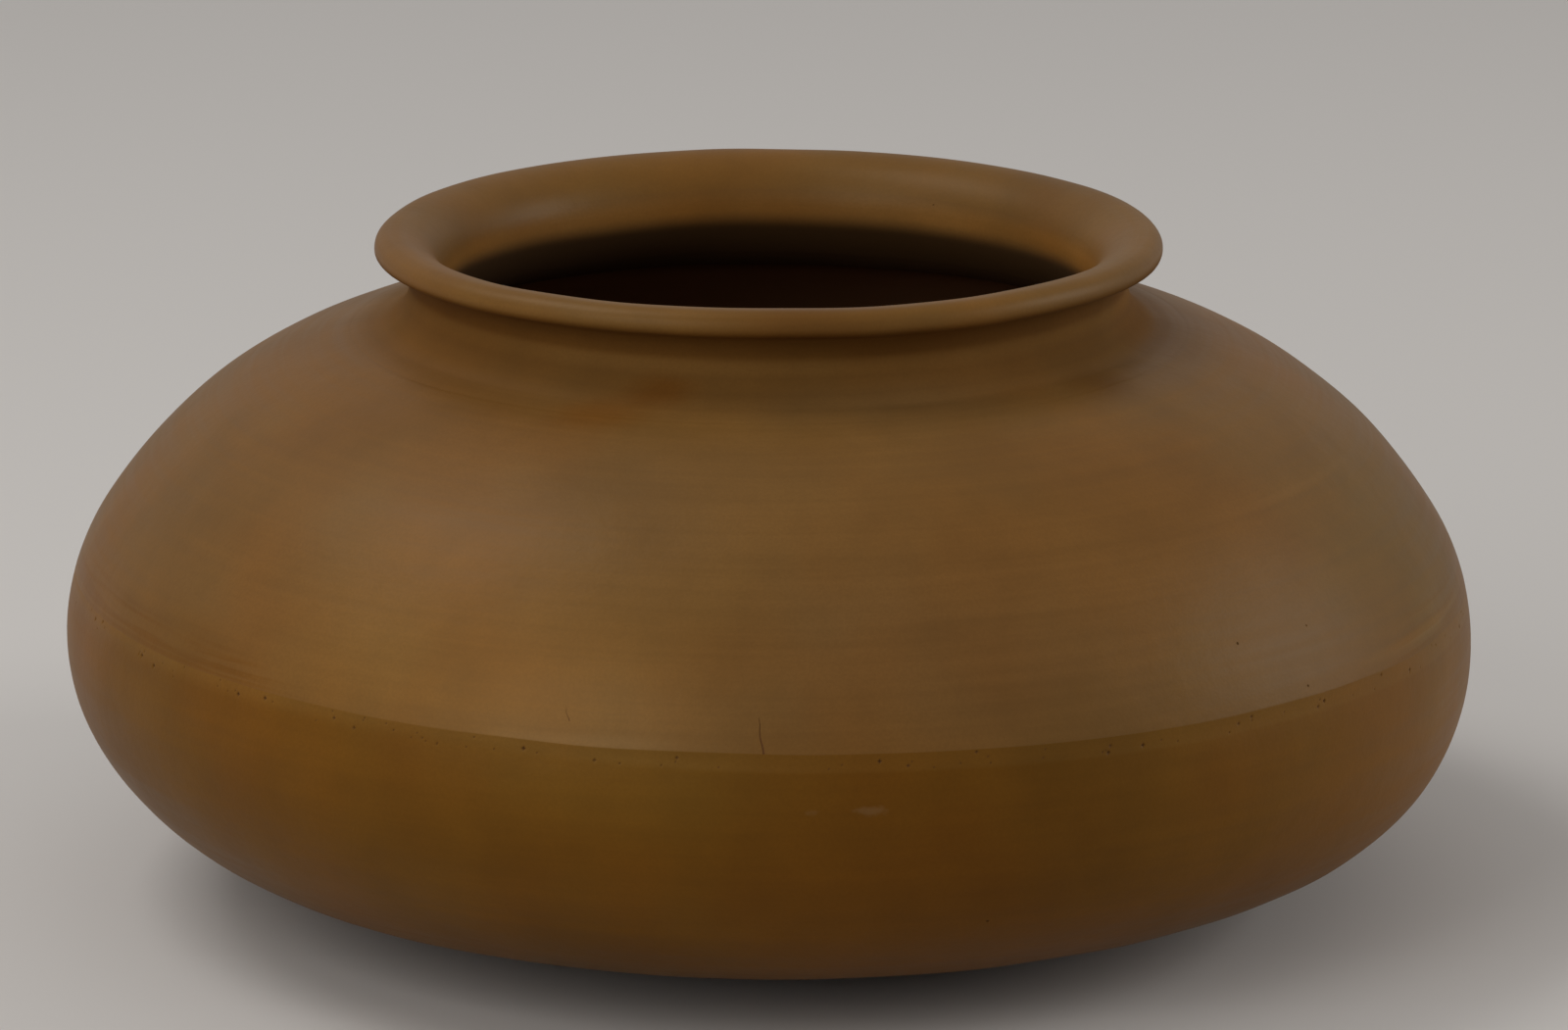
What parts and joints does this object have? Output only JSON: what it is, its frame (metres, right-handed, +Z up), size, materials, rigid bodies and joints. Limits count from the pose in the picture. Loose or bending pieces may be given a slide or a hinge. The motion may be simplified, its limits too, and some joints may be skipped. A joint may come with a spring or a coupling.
{
  "type": "clay olla",
  "caption": "Squat burnished clay olla with a pressed round bowl, coil-built belly and shoulder, short neck and rolled flaring lip, for storing or serving.",
  "frame": {"origin": "middle of the flat spot under the base, on the surface that the pot stands on", "axes": "+Z up along the pot's axis, out of the mouth; X and Y level, and any turn about Z is alike"},
  "size_m": [0.33, 0.33, 0.1583],
  "materials": {
    "bowl_clay": "burnished fired clay, satin, darker below the seam",
    "seam_clay": "burnished fired clay, satin, finely pitted",
    "wall_clay": "burnished fired clay, satin, with level burnishing streaks",
    "lip_clay": "burnished fired clay, satin"
  },
  "bodies": {
    "root": {"lower_bowl": "bowl_clay", "seam_coil": "seam_clay", "belly_course": "wall_clay", "shoulder_course": "wall_clay", "neck_collar": "wall_clay", "lip_coil": "lip_clay"}
  },
  "joints": []
}
